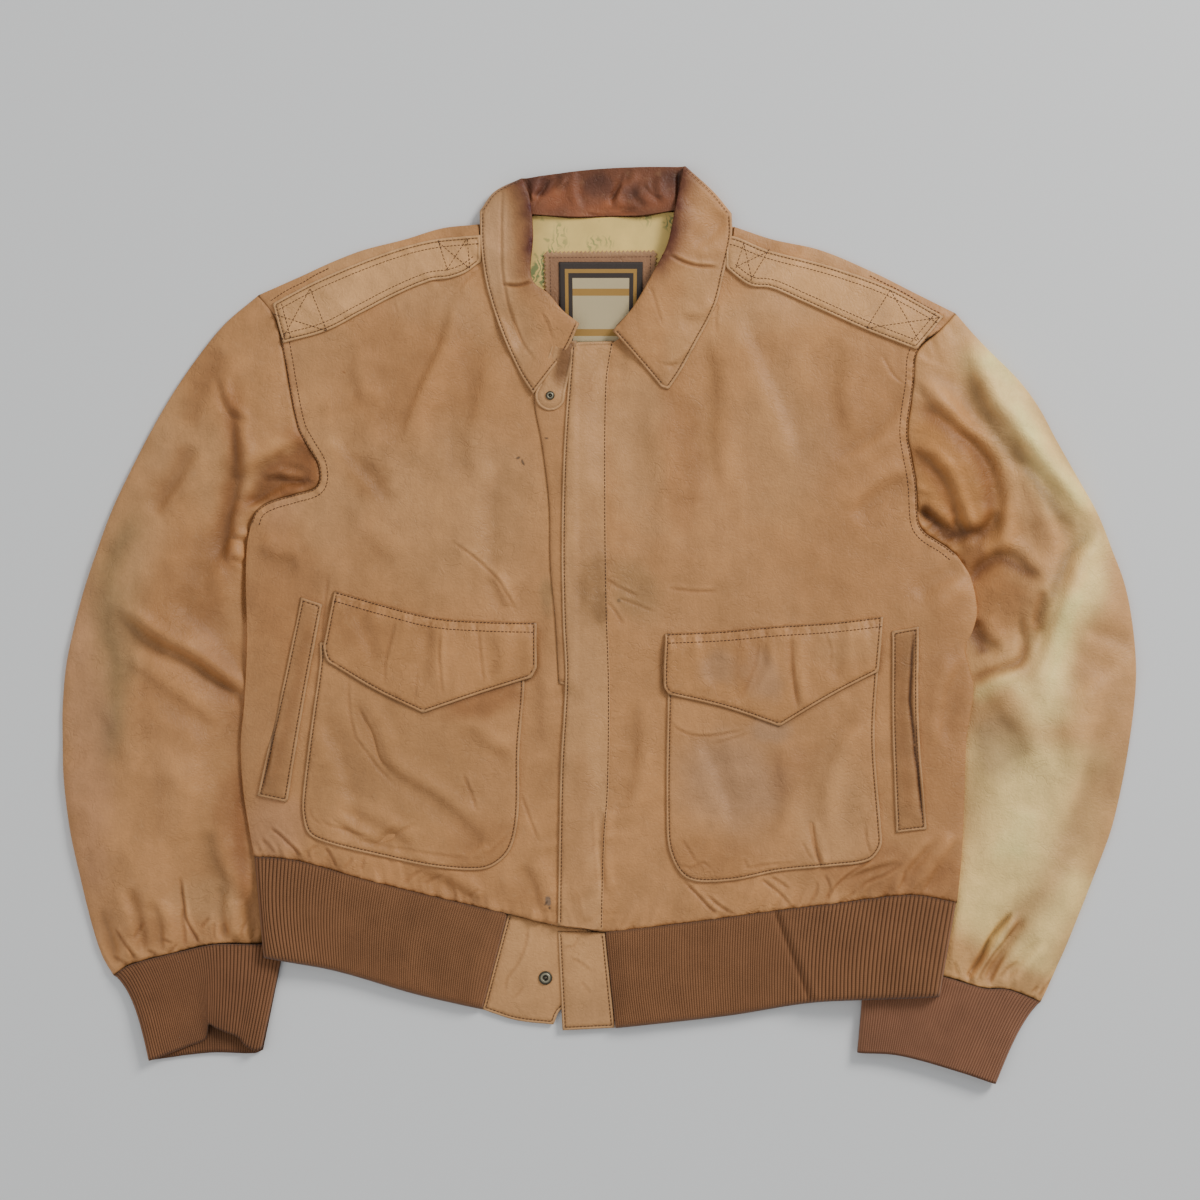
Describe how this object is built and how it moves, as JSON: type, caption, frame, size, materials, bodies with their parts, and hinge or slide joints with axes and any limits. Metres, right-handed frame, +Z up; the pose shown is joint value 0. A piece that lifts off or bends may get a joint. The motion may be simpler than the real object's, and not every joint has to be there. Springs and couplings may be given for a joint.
{
  "type": "leather bomber jacket, laid flat",
  "caption": "Worn tan leather bomber jacket with shirt collar, storm placket, flap pockets, shoulder straps and rib-knit cuffs and waistband, laid flat front side up.",
  "frame": {"origin": "centre of the bounding box, at the height of the surface the jacket lies on", "axes": "+Z up from the surface, +Y from the hem to the collar, +X to the right when seen from above with the collar away (the wearer's left side)"},
  "size_m": [0.882, 0.7526, 0.0235],
  "materials": {
    "leather_tan": "washed tan hide, creased, matt with a soft sheen, edges rubbed paler",
    "leather_cream": "the same hide faded to cream over most of the sleeve",
    "leather_dark": "tan hide darkened brown by wear inside the collar",
    "rib_knit": "brown wool rib knit, slightly pilled",
    "lining_cloth": "pale yellow woven cotton with a soft green sprig print",
    "patch_leather": "taupe split leather with a pinked edge",
    "label_cloth": "woven satin label, plain bands and border, no lettering",
    "snap_metal": "antiqued brass snap cap, dulled"
  },
  "bodies": {
    "root": {"back_panel": "leather_tan", "collar_fall": "leather_tan", "collar_stand": "leather_dark", "left_cuff": "rib_knit", "left_flap": "leather_tan", "left_front": "leather_tan", "left_pocket": "leather_tan", "left_shoulder_strap": "leather_tan", "left_sleeve": "leather_cream", "left_sleeve_under": "leather_cream", "left_waist_tab": "leather_tan", "left_welt": "leather_tan", "left_yoke_strip": "leather_tan", "neck_label": "label_cloth", "neck_lining": "lining_cloth", "neck_patch": "patch_leather", "neck_snap": "snap_metal", "neck_tab": "leather_tan", "placket": "leather_tan", "right_cuff": "rib_knit", "right_flap": "leather_tan", "right_front": "leather_tan", "right_pocket": "leather_tan", "right_shoulder_strap": "leather_tan", "right_sleeve": "leather_tan", "right_sleeve_under": "leather_tan", "right_waist_tab": "leather_tan", "right_welt": "leather_tan", "right_yoke_strip": "leather_tan", "under_fly": "leather_tan", "waist_rib": "rib_knit", "waist_snap": "snap_metal"}
  },
  "joints": []
}
